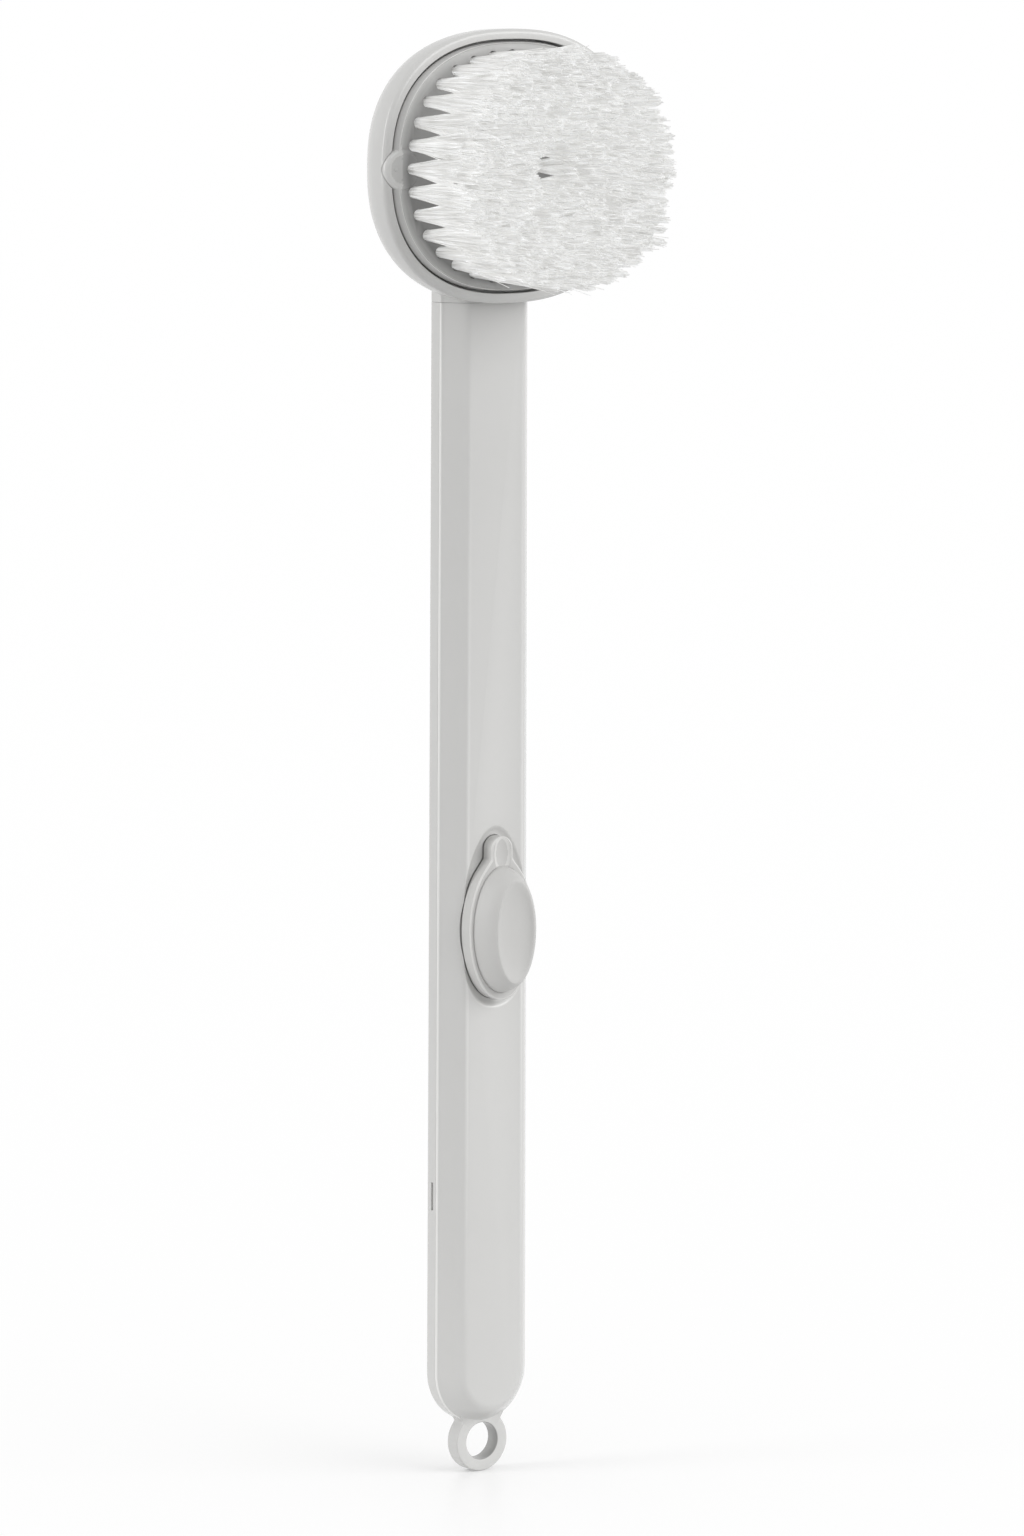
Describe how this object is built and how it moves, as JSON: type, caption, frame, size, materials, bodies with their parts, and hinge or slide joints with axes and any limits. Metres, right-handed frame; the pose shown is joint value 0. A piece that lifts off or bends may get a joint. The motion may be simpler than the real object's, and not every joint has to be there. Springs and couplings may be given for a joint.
{
  "type": "long-handle cleaning brush",
  "caption": "Long-handled brush: hollow soap handle with press button, refill plug and hanging loop, and a cup-shaped head with a snap-in plate of soft bristles.",
  "frame": {"origin": "centre of the eye of the hanging loop at the handle's end", "axes": "+Z along the handle to the head, bristles point along -Y, +X to the right seen from the bristle side"},
  "size_m": [0.0776, 0.0461, 0.37],
  "materials": {
    "shell_plastic": "fine satin moulding, warm light grey",
    "grey_silicone": "smooth matte silicone, warm grey",
    "bristle_nylon": "fine white filaments",
    "inner_plastic": "plain moulding",
    "clear_silicone": "cloudy silicone",
    "seal_rubber": "dark seal",
    "screw_steel": "bright screw"
  },
  "bodies": {
    "handle": {"handle_front_shell": "shell_plastic", "handle_back_shell": "shell_plastic", "hanging_loop": "shell_plastic", "head_housing": "shell_plastic", "neck_plug": "inner_plastic", "neck_seal": "seal_rubber", "feed_tube": "clear_silicone", "feed_elbow": "inner_plastic", "boss_seal": "seal_rubber", "neck_screw_left": "screw_steel", "neck_screw_right": "screw_steel"},
    "brush_head": {"brush_plate": "shell_plastic", "bristle_ring_1": "bristle_nylon", "bristle_ring_2": "bristle_nylon", "bristle_ring_3": "bristle_nylon", "bristle_ring_4": "bristle_nylon", "bristle_ring_5": "bristle_nylon", "outlet_valve": "clear_silicone", "valve_retainer": "inner_plastic"},
    "plug": {"refill_plug": "grey_silicone"},
    "button": {"pump_button": "grey_silicone"}
  },
  "joints": [
    {"name": "brush_head_release", "type": "slide", "parent": "handle", "child": "brush_head", "axis": [0, -1, 0], "range_m": [0, 0.02]},
    {"name": "refill_plug_lift", "type": "slide", "parent": "handle", "child": "plug", "axis": [0, -1, 0], "range_m": [0, 0.012]},
    {"name": "pump_button_press", "type": "slide", "parent": "plug", "child": "button", "axis": [0, 1, 0], "range_m": [0, 0.0024], "stiffness_N_per_m": 900}
  ]
}
